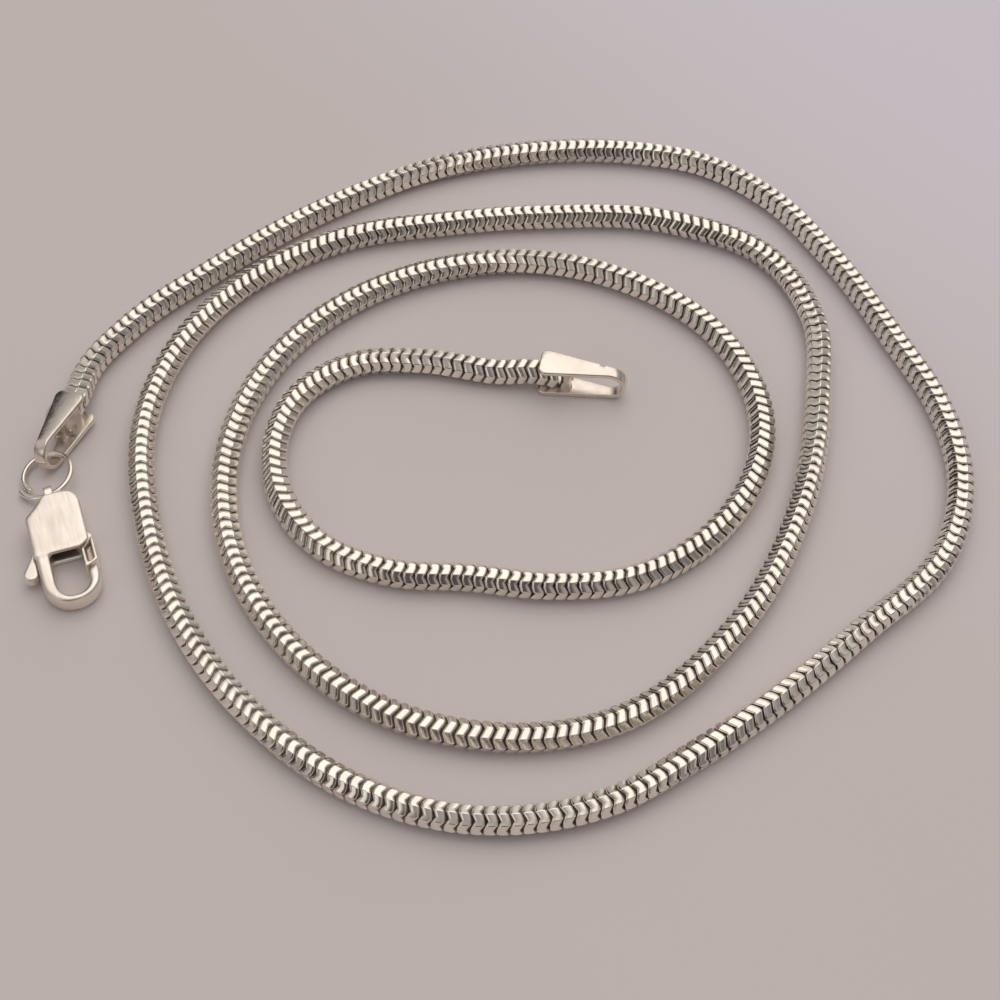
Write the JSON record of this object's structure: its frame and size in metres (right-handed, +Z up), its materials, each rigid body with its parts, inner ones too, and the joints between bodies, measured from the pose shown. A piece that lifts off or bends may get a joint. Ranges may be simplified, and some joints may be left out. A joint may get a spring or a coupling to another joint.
{
  "type": "snake chain necklace with end tabs, jump ring and lobster clasp, lying in a spiral",
  "caption": "Faceted snake chain necklace lying in a loose spiral, with folded end tabs, a jump ring and a lobster clasp whose sprung lever opens its mouth.",
  "frame": {"origin": "on the surface that the necklace lies on, under the middle of its outline", "axes": "+Z up from the surface, +X to the right and +Y away from the viewer as the spiral is seen with the clasp at its left"},
  "size_m": [0.0728, 0.067, 0.0033],
  "materials": {
    "chain_silver": "polished and diamond-cut sterling silver",
    "tab_silver": "rolled and polished sterling silver strip",
    "ring_silver": "drawn and polished sterling silver wire",
    "clasp_silver": "cast and tumbled sterling silver with a soft satin shine"
  },
  "bodies": {
    "root": {"chain_outer": "chain_silver", "chain_inner": "chain_silver", "clasp_tab": "tab_silver", "hook_tab": "tab_silver", "jump_ring": "ring_silver", "clasp_body": "clasp_silver", "clasp_pivot": "clasp_silver"},
    "lever": {"clasp_lever": "clasp_silver"}
  },
  "joints": [
    {"name": "lever_hinge", "type": "hinge", "parent": "root", "child": "lever", "pos_m": [-0.03247, -0.01115, 0.0009], "axis": [0, 0, -1], "range_deg": [0, 24], "stiffness_Nm_per_rad": 0.02, "springref_deg": -8.59}
  ]
}
